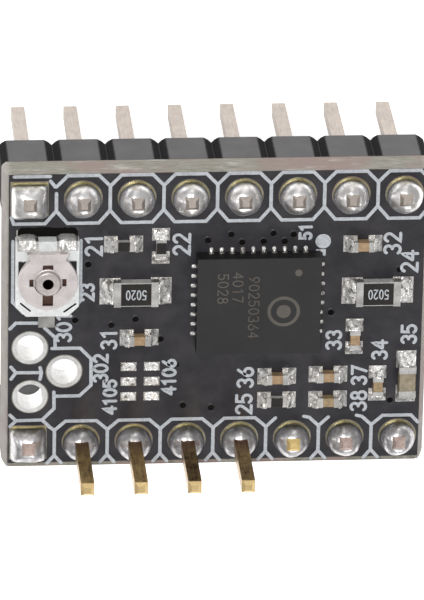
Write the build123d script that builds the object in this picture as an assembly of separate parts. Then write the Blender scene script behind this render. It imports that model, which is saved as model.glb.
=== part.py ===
from build123d import *
import math
import os

# Stepper driver module: a small circuit board that stands on two rows of square pins.
# Millimetres, +Z up. The origin is under the middle of the board, at the tips of the downward pins.
# +X runs along the pin rows, +Y points to the row whose eight pins all point down.

# Pin grid
pitch = 2.54
positions = 8
row_spacing = 5 * pitch
pin_width = 0.64
pin_tip_chamfer = 0.16
pin_below_header = 6.5
pin_stub_above_board = 0.98
up_pin_above_board = 5.4
up_positions = (2, 3, 4, 5)

# Header strips
header_height = 2.54
header_width = 2.54
header_corner_along = 0.36
header_corner_across = 0.2
header_shoulder = 0.16

# Board
board_length = positions * pitch
board_width = row_spacing + header_width
board_thickness = 1.6
mask_thickness = 0.03
board_front_corner = 0.42
board_rear_corner = 0.08
edge_bevel = 0.24
edge_bevel_height = 0.4
mask_inset_left = 0.3
mask_inset_right = 0.26
mask_inset_front = 0.2
mask_inset_rear = 0.02

# Plated holes
plating = 0.03
header_hole_radius = 0.5
header_pad_radius = 0.875
square_pad = 1.72
pad_clearance = 0.05
test_hole_radius = 0.65
test_hole_lining = 0.16
test_ring_radius = 0.84
test_holes = ((-8.82, -1.37), (-7.18, -2.63), (-8.80, -3.93))
via_radius = 0.13
vias = (
    (-6.68, 0.04), (-4.95, -0.25), (-3.80, 0.04), (-2.59, -1.02), (-1.84, -2.39), (-1.47, -4.54),
    (-0.41, 4.07), (-0.12, -4.68), (0.69, 4.36), (1.22, 3.94), (2.23, 3.97), (2.70, 4.38),
    (3.24, 3.96), (3.66, 4.31), (5.53, 0.23), (8.49, -4.45), (8.76, 2.41), (-6.09, 2.93),
)

# Solder round the header pins
solder_dome_radius = 0.84
solder_dome_height = 0.78

# Driver chip: a flat no-lead package
chip_x = 2.0
chip_y = 1.0
chip_length = 5.9
chip_width = 4.95
chip_height = 0.85
chip_standoff = 0.03
lead_pitch = 0.5
leads_long_side = 10
leads_short_side = 8
lead_width = 0.24
lead_length = 0.4
lead_height = 0.2
lead_pad_outside = 0.26
die_pad_length = 4.3
die_pad_width = 3.3
die_length = 2.9
die_width = 2.2
die_height = 0.25
wire_thickness = 0.04
wire_rise = 0.14
wire_inset_on_die = 0.12
wire_loop_start = 0.09
wire_loop_end = 0.44
wire_foot = 1.6 * wire_thickness
lead_solder_knee = (0.45, 0.55)

# Trimmer: a ceramic base with a turning contact disc held by a hollow eyelet
trimmer_x = -8.05
trimmer_y = 2.47
base_length = 3.0
base_front = 1.92
base_rear = 1.95
base_height = 0.62
base_corner = 0.5
track_thickness = 0.02
track_inner = 0.92
track_outer = 1.38
track_leg_inner = 0.72
rotor_radius = 1.4
rotor_low = 0.7
rotor_thickness = 0.32
tab_reach = 1.46
tab_half_width = 1.0
tab_neck_half_width = 0.84
tab_neck_reach = 1.17
slot_depth = 0.2
slot_rear_reach = 0.91
slot_front_reach = 1.2
slot_long_width = 0.5
slot_side_reach = 0.88
slot_short_width = 0.38
eyelet_radius = 0.46
eyelet_rim_radius = 0.62
eyelet_rim_height = 0.16
eyelet_rim_round = 0.1
eyelet_bore = 0.25
rotor_running_gap = 0.03
brush_radius = 0.14
terminal_thickness = 0.04
end_terminal_width = 1.0
end_terminal_inset = 0.06
end_terminal_reach = 0.46
wiper_strip_width = 0.78
wiper_strip_thickness = 0.13
wiper_strip_reach = 2.72
trimmer_pad_length = 0.6
trimmer_pad_overhang = 0.35
trimmer_solder_reach = 0.3
trimmer_solder_knee = (0.4, 0.4)
trimmer_solder_climb = 0.8

# Chip parts: name, x, y, turned a quarter turn or not
small_capacitors = (
    ("capacitor_1", 6.96, 3.80, False),
    ("capacitor_2", 5.47, -3.01, False),
    ("capacitor_3", 6.68, -1.05, True),
    ("capacitor_4", 7.85, -3.53, True),
    ("capacitor_5", 3.01, -3.07, False),
    ("capacitor_6", 5.48, -4.32, False),
    ("capacitor_7", -3.62, -0.91, False),
)
large_capacitors = (("capacitor_8", 9.22, -3.19, True),)
small_resistors = (
    ("resistor_1", -4.42, 3.97, False),
    ("resistor_2", -2.65, 3.84, True),
    ("resistor_3", 3.02, -4.32, False),
)
sense_resistors = (
    ("sense_resistor_left", -3.82, 1.53, False),
    ("sense_resistor_right", 7.73, 1.35, False),
)

# Chip part sizes: length, width, height, terminal length, solder overall length, solder width
small_capacitor_size = (1.0, 0.5, 0.5, 0.24, 1.85, 0.84)
large_capacitor_size = (1.6, 0.82, 0.78, 0.34, 2.7, 0.95)
small_resistor_size = (1.0, 0.5, 0.33, 0.22, 1.85, 0.84)
sense_resistor_size = (2.12, 1.28, 0.5, 0.34, 3.42, 1.36)
cap_thickness = 0.03
coating_thickness = 0.05
coating_share = 0.86
fillet_share = 0.72
fillet_knee = (0.4, 0.45)
fillet_toe = 0.05
fillet_setback = 0.03

# Solder-bridge pads that set the bus address
config_columns = (-4.10, -2.99)
config_rows = (-2.44, -3.22, -4.01)
config_pad_length = 0.75
config_pad_width = 0.45
config_solder_height = 0.1
config_solder_bevel = 0.08

# Heights
header_low = pin_below_header
board_low = header_low + header_height
laminate_low = board_low + mask_thickness
board_top = board_low + board_thickness
laminate_top = board_top - mask_thickness
header_columns = [(index - (positions - 1) / 2) * pitch for index in range(positions)]
rear_row = row_spacing / 2
front_row = -row_spacing / 2


def block(x, y, low, length, width, height):
    """Upright box centred on (x, y) with its underside at low."""
    return Pos(x, y, low + height / 2) * Box(length, width, height)


def rod(x, y, low, radius, height):
    """Upright cylinder centred on (x, y) with its underside at low."""
    return Pos(x, y, low + height / 2) * Cylinder(radius, height)


def plate(points, low, height):
    """Upright prism over a closed outline in the plan view."""
    outline = Polyline(*points, close=True)
    return Pos(0, 0, low) * extrude(make_face(outline), amount=height)


def side_prism(points, width):
    """Prism over a closed outline in local X and Z, centred on local Y."""
    outline = Polyline(*[(x, 0, z) for x, z in points], close=True)
    return Pos(0, width / 2, 0) * extrude(make_face(outline), amount=width, dir=(0, -1, 0))


def save(name, pieces):
    """Write one node, made of one or more separate solids."""
    solids = [solid for piece in pieces for solid in piece.solids()]
    export_step(Compound(children=solids), f"parts/{name}.step")


# Board and its plating

def board_laminate():
    """Glass laminate with scored left and right edges, drilled for every hole."""
    height = laminate_top - laminate_low
    board = block(0, 0, laminate_low, board_length, board_width, height)
    uprights = board.edges().filter_by(Axis.Z).sort_by(Axis.Y)
    board = fillet(uprights[:2], board_front_corner)
    board = fillet(board.edges().filter_by(Axis.Z).sort_by(Axis.Y)[-2:], board_rear_corner)
    for side in (-1, 1):
        for level in (-1, 1):
            corner_x = side * board_length / 2
            corner_z = (laminate_low + laminate_top) / 2 + level * height / 2
            wedge = side_prism(
                (
                    (corner_x, corner_z),
                    (corner_x - side * edge_bevel, corner_z),
                    (corner_x, corner_z - level * edge_bevel_height),
                ),
                board_width,
            )
            board -= wedge
    drills = [rod(x, y, laminate_low, header_hole_radius + plating, height) for x, y in header_points()]
    drills += [rod(x, y, laminate_low, test_hole_radius + test_hole_lining, height) for x, y in test_holes]
    drills += [rod(x, y, laminate_low, via_radius + plating, height) for x, y in vias]
    return board - drills


def header_points():
    """Centres of the sixteen header holes."""
    return [(x, y) for y in (rear_row, front_row) for x in header_columns]


def header_pad(x, y, low, growth):
    """Pad of one header hole: square at the left end of each row, round elsewhere."""
    if x == header_columns[0]:
        side = square_pad + 2 * growth
        return block(x, y, low, side, side, mask_thickness)
    return rod(x, y, low, header_pad_radius + growth, mask_thickness)


def barrel(x, y, radius, lining):
    """Metal tube that lines a drilled hole from mask level to mask level."""
    outer = rod(x, y, board_low, radius + lining, board_thickness)
    return outer - rod(x, y, board_low, radius, board_thickness)


def header_hole_plating():
    """Lined holes with a pad on each side of the board."""
    pieces = []
    for x, y in header_points():
        bore = rod(x, y, board_low, header_hole_radius, board_thickness)
        pads = header_pad(x, y, board_low, 0) + header_pad(x, y, laminate_top, 0)
        pieces.append(barrel(x, y, header_hole_radius, plating) + (pads - bore))
    return pieces


def test_hole_plating(x, y):
    """One large hole with a thick tinned lining and a narrow ring on each side of the board."""
    rings = rod(x, y, board_low, test_ring_radius, mask_thickness)
    rings += rod(x, y, laminate_top, test_ring_radius, mask_thickness)
    bore = rod(x, y, board_low, test_hole_radius, board_thickness)
    return barrel(x, y, test_hole_radius, test_hole_lining) + (rings - bore)


def via_plating():
    """Thin copper tubes that join the two sides, closed over by the mask."""
    height = laminate_top - laminate_low
    return [
        rod(x, y, laminate_low, via_radius + plating, height) - rod(x, y, laminate_low, via_radius, height)
        for x, y in vias
    ]


def solder_mask(low, openings):
    """Coloured lacquer over one side of the laminate, open over the pads."""
    left = -board_length / 2 + mask_inset_left
    right = board_length / 2 - mask_inset_right
    front = -board_width / 2 + mask_inset_front
    rear = board_width / 2 - mask_inset_rear
    sheet = block((left + right) / 2, (front + rear) / 2, low, right - left, rear - front, mask_thickness)
    holes = [header_pad(x, y, low, pad_clearance) for x, y in header_points()]
    holes += [rod(x, y, low, test_ring_radius + pad_clearance, mask_thickness) for x, y in test_holes]
    return sheet - holes - openings


# Chip parts

def chip_parts():
    """Every soldered chip part as name, x, y, turn in degrees and size."""
    parts = []
    for group, size in (
        (small_capacitors, small_capacitor_size),
        (large_capacitors, large_capacitor_size),
        (small_resistors, small_resistor_size),
        (sense_resistors, sense_resistor_size),
    ):
        for name, x, y, turned in group:
            parts.append((name, x, y, 90 if turned else 0, size))
    return parts


def place(x, y, turn):
    """Location on the board's top face."""
    return Pos(x, y, board_top) * Rot(0, 0, turn)


def chip_part_body(size):
    """Ceramic body between the two terminals; its ends fill the metal caps' hollow."""
    length, width, height = (value - 2 * cap_thickness for value in size[:3])
    return block(0, 0, cap_thickness, length, width, height)


def chip_part_terminals(size):
    """Two metal caps that wrap the ends of the ceramic body."""
    length, width, height, terminal, _, _ = size
    core = chip_part_body(size)
    ends = []
    for side in (-1, 1):
        block_x = side * (length - terminal) / 2
        ends.append(block(block_x, 0, 0, terminal, width, height) - core)
    return ends


def chip_part_pads(x, y, turn, size):
    """Two copper pads in the plane of the mask."""
    length, _, _, terminal, overall, pad_width = size
    pad_length = overall / 2 - (length / 2 - terminal)
    offset = overall / 2 - pad_length / 2
    spot = Pos(x, y, laminate_top) * Rot(0, 0, turn)
    return [spot * block(side * offset, 0, 0, pad_length, pad_width, mask_thickness) for side in (-1, 1)]


def end_fillets(size):
    """Solder wedges that climb the two end faces."""
    length, _, height, _, overall, pad_width = size
    reach = overall / 2 - length / 2
    climb = height * fillet_share
    wedges = []
    for side in (-1, 1):
        start = side * length / 2
        wedges.append(
            side_prism(
                (
                    (start, 0),
                    (start + side * reach, 0),
                    (start + side * reach, fillet_toe),
                    (start + side * reach * fillet_knee[0], climb * fillet_knee[1]),
                    (start, climb),
                ),
                pad_width - 2 * fillet_setback,
            )
        )
    return wedges


# Driver chip

def lead_places():
    """Middle of each lead's outer end, and the direction it faces, round the package."""
    places = []
    for index in range(leads_long_side):
        along = (index - (leads_long_side - 1) / 2) * lead_pitch
        places.append((along, chip_width / 2, 90))
        places.append((along, -chip_width / 2, -90))
    for index in range(leads_short_side):
        along = (index - (leads_short_side - 1) / 2) * lead_pitch
        places.append((chip_length / 2, along, 0))
        places.append((-chip_length / 2, along, 180))
    return places


def at_lead(x, y, facing, low):
    """Frame at a lead: local X points out of the package."""
    return Pos(chip_x + x, chip_y + y, low) * Rot(0, 0, facing)


def chip_leads(low):
    """Flat leads set into the underside of the package."""
    return [
        at_lead(x, y, facing, low) * block(-lead_length / 2, 0, 0, lead_length, lead_width, lead_height)
        for x, y, facing in lead_places()
    ]


def chip_pads():
    """Board pads of the package: one for each lead and one under its middle."""
    reach = lead_length + lead_pad_outside
    pads = [
        at_lead(x, y, facing, laminate_top)
        * block(lead_pad_outside - reach / 2, 0, 0, reach, lead_width, mask_thickness)
        for x, y, facing in lead_places()
    ]
    pads.append(block(chip_x, chip_y, laminate_top, die_pad_length, die_pad_width, mask_thickness))
    return pads


def chip_solder():
    """Solder under each lead with a small fillet outside, and a film under the die pad."""
    toe = lead_pad_outside
    joints = []
    for x, y, facing in lead_places():
        profile = (
            (-lead_length, 0),
            (toe, 0),
            (toe * lead_solder_knee[0], lead_height * lead_solder_knee[1]),
            (0, lead_height),
            (0, chip_standoff),
            (-lead_length, chip_standoff),
        )
        joints.append(at_lead(x, y, facing, board_top) * side_prism(profile, lead_width))
    joints.append(block(chip_x, chip_y, board_top, die_pad_length, die_pad_width, chip_standoff))
    return joints


def bond_wires(low):
    """Flat arches of fine wire from the die's edge to the inner end of each lead."""
    die_top = lead_height + die_height
    wires = []
    for x, y, facing in lead_places():
        lead_x = chip_x + x * (1 - lead_length / chip_length) if facing in (0, 180) else chip_x + x
        lead_y = chip_y + y * (1 - lead_length / chip_width) if facing in (90, -90) else chip_y + y
        edge_x = chip_x + x / (chip_length / 2) * (die_length / 2 - wire_inset_on_die)
        edge_y = chip_y + y / (chip_width / 2) * (die_width / 2 - wire_inset_on_die)
        run = math.hypot(lead_x - edge_x, lead_y - edge_y)
        turn = math.degrees(math.atan2(lead_y - edge_y, lead_x - edge_x))
        arch = (
            (0, die_top),
            (wire_loop_start * run, die_top + wire_rise),
            (wire_loop_end * run, die_top + wire_rise),
            (run, lead_height),
            (run - wire_foot, lead_height),
            (wire_loop_end * run - wire_thickness, die_top + wire_rise - wire_thickness),
            (wire_loop_start * run + wire_thickness, die_top + wire_rise - wire_thickness),
            (wire_thickness, die_top),
        )
        wires.append(Pos(edge_x, edge_y, low) * Rot(0, 0, turn) * side_prism(arch, wire_thickness))
    return wires


# Trimmer

def trimmer_point(x, y):
    """Point given from the trimmer's axis, in the module's frame."""
    return (trimmer_x + x, trimmer_y + y)


def trimmer_base():
    """Ceramic plate with a centre hole and a groove below for the wiper strip."""
    half = base_length / 2
    outline = [
        trimmer_point(-half + base_corner, -base_front),
        trimmer_point(half - base_corner, -base_front),
        trimmer_point(half, -base_front + base_corner),
        trimmer_point(half, base_rear),
        trimmer_point(-half, base_rear),
        trimmer_point(-half, -base_front + base_corner),
    ]
    base = plate(outline, board_top, base_height)
    groove_length = base_front + eyelet_rim_radius
    groove_y = trimmer_y - base_front + groove_length / 2
    groove = block(trimmer_x, groove_y, board_top, wiper_strip_width, groove_length, wiper_strip_thickness)
    return base - groove - rod(trimmer_x, trimmer_y, board_top, eyelet_radius, base_height)


def trimmer_track():
    """Horseshoe of resistive ink whose legs run back to the end terminals."""
    low = board_top + base_height
    leg_reach = base_rear - end_terminal_reach
    ring = rod(trimmer_x, trimmer_y, low, track_outer, track_thickness)
    leg_width = track_outer - track_leg_inner
    for side in (-1, 1):
        leg_x = trimmer_x + side * (track_outer + track_leg_inner) / 2
        ring += block(leg_x, trimmer_y + leg_reach / 2, low, leg_width, leg_reach, track_thickness)
    gap_y = trimmer_y + track_outer
    gap = block(trimmer_x, gap_y, low, 2 * track_leg_inner, 2 * track_outer, track_thickness)
    return ring - rod(trimmer_x, trimmer_y, low, track_inner, track_thickness) - gap


def end_terminal_x(side):
    """Middle of the left (-1) or right (1) end terminal."""
    return trimmer_x + side * (base_length / 2 - end_terminal_width / 2 - end_terminal_inset)


def trimmer_end_terminal(side):
    """Metal cap over the rear edge of the base, down to the board."""
    x = end_terminal_x(side)
    rear = trimmer_y + base_rear
    top = board_top + base_height
    over_y = rear - end_terminal_reach / 2
    over = block(x, over_y, top, end_terminal_width, end_terminal_reach, terminal_thickness)
    down = block(
        x,
        rear + terminal_thickness / 2,
        board_top,
        end_terminal_width,
        terminal_thickness,
        base_height + terminal_thickness,
    )
    return over + down


def trimmer_wiper_terminal():
    """Strip under the base that turns up into the hollow eyelet on which the disc turns."""
    inner_reach = eyelet_rim_radius
    length = wiper_strip_reach + inner_reach
    y = trimmer_y + inner_reach - length / 2
    strip = block(trimmer_x, y, board_top, wiper_strip_width, length, wiper_strip_thickness)
    rim_low = board_top + rotor_low + rotor_thickness + rotor_running_gap
    post_height = rim_low + eyelet_rim_height - board_top - wiper_strip_thickness
    post = rod(trimmer_x, trimmer_y, board_top + wiper_strip_thickness, eyelet_radius, post_height)
    rim = rod(trimmer_x, trimmer_y, rim_low, eyelet_rim_radius, eyelet_rim_height)
    top_edges = rim.edges().filter_by(GeomType.CIRCLE).group_by(Axis.Z)[-1]
    rim = fillet(top_edges, eyelet_rim_round)
    bore = rod(trimmer_x, trimmer_y, board_top, eyelet_bore, rim_low + eyelet_rim_height - board_top)
    return strip + post + rim - bore


def trimmer_rotor():
    """Turning contact disc: cross slot above, stop tab at the rear, brush below at the front."""
    low = board_top + rotor_low
    top = low + rotor_thickness
    disc = rod(trimmer_x, trimmer_y, low, rotor_radius, rotor_thickness)
    tab = plate(
        (
            trimmer_point(-tab_neck_half_width, 0),
            trimmer_point(tab_neck_half_width, 0),
            trimmer_point(tab_neck_half_width, tab_neck_reach),
            trimmer_point(tab_half_width, tab_reach),
            trimmer_point(-tab_half_width, tab_reach),
            trimmer_point(-tab_neck_half_width, tab_neck_reach),
        ),
        low,
        rotor_thickness,
    )
    slot_low = top - slot_depth
    slot_y = trimmer_y + (slot_rear_reach - slot_front_reach) / 2
    slot = block(trimmer_x, slot_y, slot_low, slot_long_width, slot_rear_reach + slot_front_reach, slot_depth)
    slot += block(trimmer_x, trimmer_y, slot_low, 2 * slot_side_reach, slot_short_width, slot_depth)
    brush_low = board_top + base_height + 2 * track_thickness
    brush_y = trimmer_y - (track_inner + track_outer) / 2
    brush = rod(trimmer_x, brush_y, brush_low, brush_radius, low - brush_low)
    bore = rod(trimmer_x, trimmer_y, low, eyelet_radius + rotor_running_gap, rotor_thickness)
    return disc + tab + brush - slot - bore


def trimmer_pads():
    """Board pads of the three trimmer terminals."""
    rear_y = trimmer_y + base_rear + trimmer_pad_overhang - trimmer_pad_length / 2
    front_y = trimmer_y - wiper_strip_reach + trimmer_pad_length / 2
    places = [(end_terminal_x(side), rear_y, end_terminal_width) for side in (-1, 1)]
    places.append((trimmer_x, front_y, wiper_strip_width))
    return [block(x, y, laminate_top, width, trimmer_pad_length, mask_thickness) for x, y, width in places]


def trimmer_solder():
    """Solder wedges behind the two end terminals."""
    rear = trimmer_y + base_rear + terminal_thickness
    wedges = []
    profile = (
        (0, 0),
        (trimmer_solder_reach, 0),
        (trimmer_solder_reach * trimmer_solder_knee[0], base_height * trimmer_solder_knee[1]),
        (0, base_height * trimmer_solder_climb),
    )
    for side in (-1, 1):
        spot = Pos(end_terminal_x(side), rear, board_top) * Rot(0, 0, 90)
        wedges.append(spot * side_prism(profile, end_terminal_width - 2 * end_terminal_inset))
    return wedges


# Headers

def header_body(row_y):
    """Eight eight-sided posts of moulded plastic in one strip, bored for the square pins."""
    half_length = pitch / 2
    half_width = header_width / 2
    end = (half_length, half_width - header_corner_across)
    side = (half_length - header_corner_along, half_width)
    outline = [end, side]
    outline += [(-side[0], side[1]), (-end[0], end[1])]
    outline += [(-end[0], -end[1]), (-side[0], -side[1])]
    outline += [(side[0], -side[1]), (end[0], -end[1])]
    post = plate(outline, -header_height / 2, header_height)
    low_edges = post.faces().sort_by(Axis.Z)[0].edges().filter_by(Axis.Y)
    post = chamfer(low_edges, header_shoulder)
    strip = None
    for x in header_columns:
        placed = Pos(x, row_y, header_low + header_height / 2) * post
        strip = placed if strip is None else strip + placed
    bores = [block(x, row_y, header_low, pin_width, pin_width, header_height) for x in header_columns]
    return strip - bores


def pin(x, row_y, low, high):
    """Square pin with its four tip edges bevelled at both ends."""
    body = block(x, row_y, low, pin_width, pin_width, high - low)
    ends = body.faces().filter_by(Axis.Z).edges()
    return chamfer(ends, pin_tip_chamfer)


def pin_span(row_y, position):
    """Lowest and highest point of a pin: some front pins are pushed up through the board."""
    if row_y == front_row and position in up_positions:
        return header_low, board_top + up_pin_above_board
    return 0, board_top + pin_stub_above_board


def header_solder(row_y):
    """Solder that fills each plated hole and stands round the pin in a dome."""
    ball = (solder_dome_radius**2 + solder_dome_height**2) / (2 * solder_dome_height)
    joints = []
    for index, x in enumerate(header_columns):
        low, high = pin_span(row_y, index + 1)
        cap = Pos(x, row_y, board_top + solder_dome_height - ball) * Sphere(ball)
        cap &= rod(x, row_y, board_top, ball, solder_dome_height)
        fill = rod(x, row_y, board_low, header_hole_radius, board_thickness)
        joints.append(cap + fill - pin(x, row_y, low, high))
    return joints


def config_solder():
    """Thin domes of solder on the bridge pads."""
    domes = []
    for x in config_columns:
        for y in config_rows:
            dome = block(x, y, board_top, config_pad_length, config_pad_width, config_solder_height)
            top_edges = dome.faces().sort_by(Axis.Z)[-1].edges()
            domes.append(chamfer(top_edges, config_solder_bevel))
    return domes


parts = chip_parts()
config_pads = [
    block(x, y, laminate_top, config_pad_length, config_pad_width, mask_thickness)
    for x in config_columns
    for y in config_rows
]
part_pads = [pad for _, x, y, turn, size in parts for pad in chip_part_pads(x, y, turn, size)]
copper_pads = part_pads + config_pads + trimmer_pads() + chip_pads()

save("board_laminate", [board_laminate()])
save("solder_mask_top", [solder_mask(laminate_top, copper_pads)])
save("solder_mask_bottom", [solder_mask(board_low, [])])
save("header_hole_plating", header_hole_plating())
for number, (hole_x, hole_y) in enumerate(test_holes, 1):
    save(f"test_hole_plating_{number}", [test_hole_plating(hole_x, hole_y)])
save("via_plating", via_plating())
save("copper_pads", copper_pads)

for row_name, row_y in (("rear", rear_row), ("front", front_row)):
    save(f"{row_name}_header_body", [header_body(row_y)])
    save(f"{row_name}_header_solder", header_solder(row_y))
    for position, x in enumerate(header_columns, 1):
        pin_low, pin_high = pin_span(row_y, position)
        save(f"{row_name}_pin_{position}", [pin(x, row_y, pin_low, pin_high)])

chip_low = board_top + chip_standoff
leads = chip_leads(chip_low)
wires = bond_wires(chip_low)
die_pad = block(chip_x, chip_y, chip_low, die_pad_length, die_pad_width, lead_height)
die = block(chip_x, chip_y, chip_low + lead_height, die_length, die_width, die_height)
mould = block(chip_x, chip_y, chip_low, chip_length, chip_width, chip_height)
save("chip_mould", [mould - die_pad - die - leads - wires])
save("chip_die", [die])
save("chip_die_pad", [die_pad])
save("chip_leads", leads)
save("chip_bond_wires", wires)
save("chip_solder", chip_solder())

save("trimmer_base", [trimmer_base()])
save("trimmer_track", [trimmer_track()])
save("trimmer_left_terminal", [trimmer_end_terminal(-1)])
save("trimmer_right_terminal", [trimmer_end_terminal(1)])
save("trimmer_wiper_terminal", [trimmer_wiper_terminal()])
save("trimmer_rotor", [trimmer_rotor()])
save("trimmer_solder", trimmer_solder())

capacitor_ends = []
resistor_ends = []
coatings = []
joints = []
for name, x, y, turn, size in parts:
    spot = place(x, y, turn)
    save(name, [spot * chip_part_body(size)])
    ends = [spot * end for end in chip_part_terminals(size)]
    joints += [spot * wedge for wedge in end_fillets(size)]
    if name.startswith("capacitor"):
        capacitor_ends += ends
        continue
    resistor_ends += ends
    length, width, height, terminal, _, _ = size
    window = (length - 2 * terminal, width * coating_share, coating_thickness)
    coatings.append(spot * block(0, 0, height - cap_thickness, *window))
save("capacitor_terminals", capacitor_ends)
save("resistor_terminals", resistor_ends)
save("resistor_coatings", coatings)
save("part_solder", joints)
save("config_solder", config_solder())
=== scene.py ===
import math

import bmesh
import bpy
from mathutils import Matrix, Vector, noise


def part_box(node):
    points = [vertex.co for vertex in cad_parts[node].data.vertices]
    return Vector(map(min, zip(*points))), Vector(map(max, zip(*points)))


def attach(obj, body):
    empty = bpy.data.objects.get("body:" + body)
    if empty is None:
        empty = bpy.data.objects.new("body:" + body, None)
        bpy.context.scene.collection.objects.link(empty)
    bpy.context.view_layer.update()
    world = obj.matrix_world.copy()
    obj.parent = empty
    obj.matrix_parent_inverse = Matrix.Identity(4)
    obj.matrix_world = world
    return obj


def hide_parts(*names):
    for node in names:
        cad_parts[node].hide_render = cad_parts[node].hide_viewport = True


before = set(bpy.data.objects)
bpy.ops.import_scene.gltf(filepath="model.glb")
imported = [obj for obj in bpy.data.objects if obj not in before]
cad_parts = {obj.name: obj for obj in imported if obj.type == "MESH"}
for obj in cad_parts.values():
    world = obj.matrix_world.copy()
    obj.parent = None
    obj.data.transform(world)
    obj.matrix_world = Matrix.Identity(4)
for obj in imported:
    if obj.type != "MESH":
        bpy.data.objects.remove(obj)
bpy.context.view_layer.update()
print("frame loaded:", len(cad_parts), "cad nodes")

mm = 0.001
moduleBody = "module"
discBody = "trimmer_disc"


def middle(node):
    low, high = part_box(node)
    return [(a + b) / 2 / mm for a, b in zip(low, high)]


def lowest(node):
    return [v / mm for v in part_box(node)[0]]


def highest(node):
    return [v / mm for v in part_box(node)[1]]


boardTop = highest("solder_mask_top")[2]
rearPins = [middle("rear_pin_%d" % n)[:2] for n in range(1, 9)]
frontPins = [middle("front_pin_%d" % n)[:2] for n in range(1, 9)]
pitch = rearPins[1][0] - rearPins[0][0]
discCentre = (-8.05, 2.47)     # the trimmer's upright axis
solderLow = boardTop - 0.004   # solder starts just inside the lacquer


# where the camera stands, and how it is turned
cameraPlace = {
    "aim": (-0.17, 0.98, 10.64),   # the point it looks at, mm
    "distance": 319.6,             # from that point, mm
    "tilt": 24.88,                 # degrees from straight down, towards +Y
    "turn": -11.02,                # degrees round the upright, from +Y towards -X
    "roll": 1.12,
    "lens": 403.4,
}


def makeCamera(place):
    data = bpy.data.cameras.new("camera")
    data.sensor_width = 36
    data.lens = place["lens"]
    data.clip_start = 0.01
    data.clip_end = 10
    obj = bpy.data.objects.new("camera", data)
    bpy.context.scene.collection.objects.link(obj)
    tilt, turn = math.radians(place["tilt"]), math.radians(place["turn"])
    back = Vector((math.sin(tilt) * math.sin(turn), math.sin(tilt) * math.cos(turn), math.cos(tilt)))
    right = Vector((0, 1, 0)).cross(back).normalized()
    up = back.cross(right)
    spin = Matrix.Rotation(math.radians(place["roll"]), 3, back)
    right, up = spin @ right, spin @ up
    turned = Matrix((right, up, back)).transposed().to_4x4()
    aim = Vector(place["aim"]) * mm
    obj.matrix_world = Matrix.Translation(aim + back * place["distance"] * mm) @ turned
    bpy.context.scene.camera = obj


makeCamera(cameraPlace)
print("camera placed")

lightPlan = {
    "zenith": 0.60,        # white sky straight up
    "horizon": 0.14,       # and level with the board, where it is dim
    "lamps": (
        # name, place mm, size mm, watts
        ("keyLamp", (-70, 150, 410), 120, 0.80),
        ("frontLamp", (80, -330, 260), 150, 0.34),
        ("rearLamp", (30, 400, 130), 200, 0.12),
        ("leftLamp", (-420, 40, 210), 150, 0.12),
    ),
    "aim": (0, 0, 9),
}


def makeLights(plan):
    world = bpy.data.worlds.new("studio")
    world.use_nodes = True
    tree = world.node_tree
    back = tree.nodes["Background"]
    place = tree.nodes.new("ShaderNodeTexCoord")
    parts = tree.nodes.new("ShaderNodeSeparateXYZ")
    height = tree.nodes.new("ShaderNodeMapRange")
    tree.links.new(place.outputs["Generated"], parts.inputs[0])
    tree.links.new(parts.outputs["Z"], height.inputs["Value"])
    settings = {"From Min": 0.05, "From Max": 0.9, "To Min": plan["horizon"], "To Max": plan["zenith"]}
    for label, value in settings.items():
        height.inputs[label].default_value = value
    tree.links.new(height.outputs[0], back.inputs["Strength"])
    back.inputs["Color"].default_value = (1, 1, 1, 1)
    bpy.context.scene.world = world
    for name, place, size, watts in plan["lamps"]:
        data = bpy.data.lights.new(name, "AREA")
        data.shape = "DISK"
        data.size = size * mm
        data.energy = watts
        obj = bpy.data.objects.new(name, data)
        bpy.context.scene.collection.objects.link(obj)
        here, there = Vector(place) * mm, Vector(plan["aim"]) * mm
        turn = (there - here).to_track_quat("-Z", "Y")
        obj.matrix_world = Matrix.Translation(here) @ turn.to_matrix().to_4x4()
    bpy.context.scene.view_settings.view_transform = "Standard"
    bpy.context.scene.view_settings.look = "None"


makeLights(lightPlan)
print("lights set:", len(lightPlan["lamps"]), "lamps")


# shader helpers: a Wire is one socket, and arithmetic on it adds Math nodes

class Wire:
    def __init__(self, sheet, socket):
        self.sheet = sheet
        self.socket = socket

    def __add__(self, other):
        return self.sheet.maths("ADD", self, other)

    def __radd__(self, other):
        return self.sheet.maths("ADD", other, self)

    def __sub__(self, other):
        return self.sheet.maths("SUBTRACT", self, other)

    def __rsub__(self, other):
        return self.sheet.maths("SUBTRACT", other, self)

    def __mul__(self, other):
        return self.sheet.maths("MULTIPLY", self, other)

    def __rmul__(self, other):
        return self.sheet.maths("MULTIPLY", other, self)

    def __truediv__(self, other):
        return self.sheet.maths("DIVIDE", self, other)

    def __rtruediv__(self, other):
        return self.sheet.maths("DIVIDE", other, self)


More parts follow.
